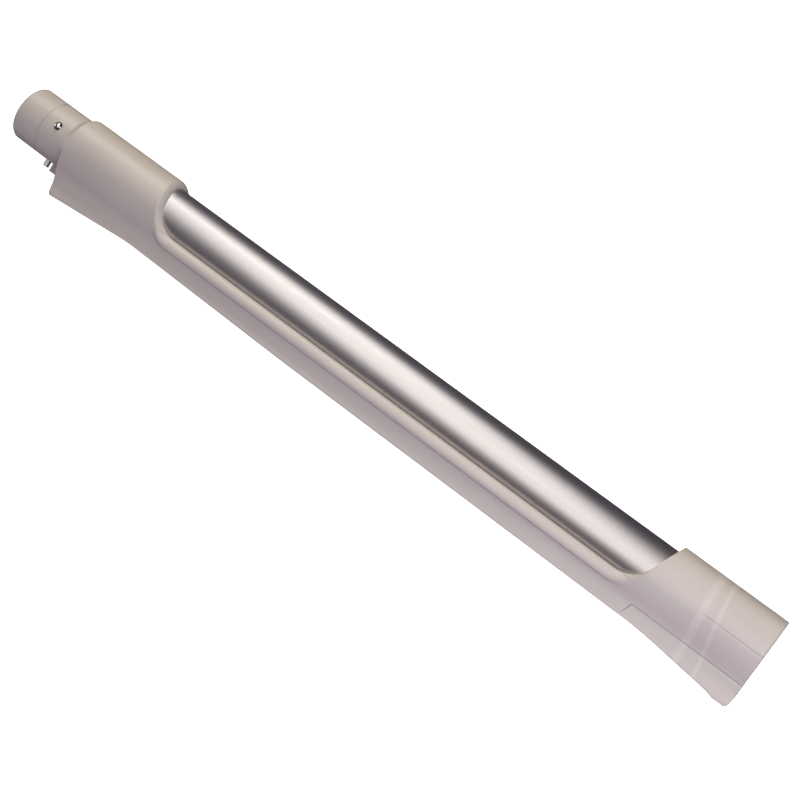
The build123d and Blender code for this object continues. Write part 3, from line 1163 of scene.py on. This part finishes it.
SOFT_BOXES = (
    # Long box that slants from overhead down to the far left: the streak on the tube
    SoftBox(
        "streak", (-0.182, 0.346, 0.822), (0.8, 2.72), 10.3,
        (-0.371, 0.784, -0.497), "#FFFDF5", Use.BOTH,
    ),
    # Bare lamp tube beside it: the fine line on the spigot and the collar
    SoftBox("lamp", (-0.75, 0.92, 0.68), (0.05, 0.9), 0.6, ALONG_X, "#FFFFFF", Use.BOTH),
    # Low light from behind the crown
    SoftBox("low_key", (-0.55, 1.55, 0.5), (0.5, 1.6), 23.5, ALONG_X, "#FFF9DE", Use.FILL),
    # Wide panels off both ends and the duct side, which keep those from going dark
    SoftBox("right_panel", (3.0, -0.4, 0.7), (1.6, 1.6), 14.0, ALONG_Y, "#F8F5FF", Use.BOTH),
    SoftBox("left_panel", (-3.0, -0.4, 0.7), (1.6, 1.6), 14.0, ALONG_Y, "#F8F5FF", Use.BOTH),
    SoftBox("duct_panel", (0.0, -2.5, 0.3), (0.5, 2.5), 26.0, ALONG_X, "#EBDFFF", Use.FILL),
    # High panel off the socket, which the tube shows to someone at its spigot
    SoftBox("high_panel", (2.2, 0.2, 1.5), (2.0, 2.0), 11.0, ALONG_Y, "#FFFCF8", Use.GLINT),
    # Small box near the socket
    SoftBox("near", (0.5, 0.0, 0.55), (0.4, 0.4), 4.0, ALONG_Y, "#F5F3FF", Use.FILL),
)


@dataclass(frozen=True)
class Studio:
    """Pale floor, soft lights and the camera."""

    focal_px: float = 1600.0
    image_px: float = 800.0
    sensor_mm: float = 36.0
    eye: tuple[float, float, float] = (547.3, 122.0, 851.6)
    backward: tuple[float, float, float] = (0.2799, 0.1444, 0.9491)
    tilt_deg: float = 34.07
    cove: tuple[tuple[float, float], ...] = ((0.001, 0.0), (6.0, 0.0), (6.0, 5.0))
    cove_round: float = 2.0
    cove_glow: float = 0.85
    cove_sides: int = 128
    floor_white: str = "#F7F7F7"
    glow_white: str = "#FFFFFF"
    room_tint: str = "#EBDFFF"
    room_glow: float = 0.06
    soft_boxes: tuple[SoftBox, ...] = SOFT_BOXES

    def camera_axes(self) -> tuple[np.ndarray, np.ndarray, np.ndarray]:
        """Works out the camera's right, up and backward directions in the model's frame.

        Returns:
            Three unit vectors: right is level with the tube's crown, then turned by the tilt.
        """
        back = np.array(self.backward) / np.linalg.norm(self.backward)
        level = np.cross(ALONG_Y, back)
        level /= np.linalg.norm(level)
        rise = np.cross(back, level)
        c, s = math.cos(math.radians(self.tilt_deg)), math.sin(math.radians(self.tilt_deg))
        return tuple(REST.turn(v) for v in (c * level + s * rise, c * rise - s * level, back))

    def make_camera(self) -> None:
        """Stands the camera where the photograph was taken from."""
        data = bpy.data.cameras.new("camera")
        data.sensor_width = self.sensor_mm
        data.lens = self.focal_px * self.sensor_mm / self.image_px
        camera = set_up("camera", data)
        turn = Matrix([[*row] for row in np.array(self.camera_axes()).T])
        place = REST.points(np.array(self.eye))
        camera.matrix_world = Matrix.Translation(place.tolist()) @ turn.to_4x4()
        bpy.context.scene.camera = camera

    def make_light(self, soft_box: SoftBox) -> None:
        """Hangs one soft box that faces the object.

        Args:
            soft_box: what to hang.
        """
        data = bpy.data.lights.new(soft_box.name, "AREA")
        data.shape = "RECTANGLE"
        data.size, data.size_y = soft_box.size
        data.energy = soft_box.power
        data.color = linear(soft_box.colour)[:3]
        light = set_up(soft_box.name, data)
        back = Vector(soft_box.at).normalized()
        length = Vector(soft_box.along)
        length = (length - back * length.dot(back)).normalized()
        width = length.cross(back)
        turn = Matrix([width, length, back]).transposed()
        light.matrix_world = Matrix.Translation(soft_box.at) @ turn.to_4x4()
        light.visible_diffuse, light.visible_glossy = soft_box.use.value

    def make_floor(self) -> None:
        """Lays a round floor of white acrylic that rises into a wall, faintly lit from behind.

        Its profile of (radius, height) points is carried round the vertical. The lights fall on it, but
        it sends none back to the tube.
        """
        radius, height = rounded(self.cove, [self.cove_round]).T[:, :, None]
        angle = np.linspace(0, 2 * math.pi, self.cove_sides, endpoint=False)[None, :]
        axes = np.broadcast_arrays(radius * np.cos(angle), radius * np.sin(angle), height)
        grid = np.stack(axes, axis=-1)
        data = bpy.data.meshes.new("floor")
        data.from_pydata(grid.reshape(-1, 3).tolist(), [], ring_quads(*grid.shape[:2]).tolist())
        data.shade_smooth()
        floor = set_up("floor", data)
        material, tree = blank_material("floor_acrylic")
        shader = add(
            tree,
            "ShaderNodeBsdfPrincipled",
            Base_Color=linear(self.floor_white),
            Roughness=1.0,
            Specular_IOR_Level=0.0,
            Emission_Color=linear(self.glow_white),
            Emission_Strength=self.cove_glow,
        )
        add(tree, "ShaderNodeOutputMaterial", Surface=shader.outputs["BSDF"])
        data.materials.append(material)
        floor.visible_glossy = floor.visible_diffuse = floor.visible_shadow = False

    def make_world(self) -> None:
        """Fills the room with a weak, even, cool light."""
        world = bpy.data.worlds.new("room")
        world.use_nodes = True
        tree = world.node_tree
        tree.nodes.clear()
        tint = linear(self.room_tint)
        sky = add(tree, "ShaderNodeBackground", Color=tint, Strength=self.room_glow)
        add(tree, "ShaderNodeOutputWorld", Surface=sky.outputs["Background"])
        bpy.context.scene.world = world

    def build(self) -> None:
        """Sets up floor, lights, room and camera."""
        self.make_floor()
        for soft_box in self.soft_boxes:
            self.make_light(soft_box)
        self.make_world()
        self.make_camera()
        bpy.context.scene.view_settings.view_transform = "Standard"


def main() -> None:
    """Builds the object piece by piece, then the studio."""
    grey = CASING_GREY.build()
    Casing().build(grey)
    ConnectorCover().build(Casing(), grey)
    SuctionTube().build(ALUMINIUM.build())
    SpringBand().build(SPRING_STEEL.build())
    Fittings().build(
        {
            "grey": grey,
            "polished": POLISHED_STEEL.build(),
            "plated": PLATED_STEEL.build(),
            "rubber": SEAL_RUBBER.build(),
            "black": SOCKET_BLACK.build(),
            "brass": BRASS.build(),
            "sheath": WIRE_SHEATH.build(),
        }
    )
    Studio().build()


if __name__ == "__main__":
    main()
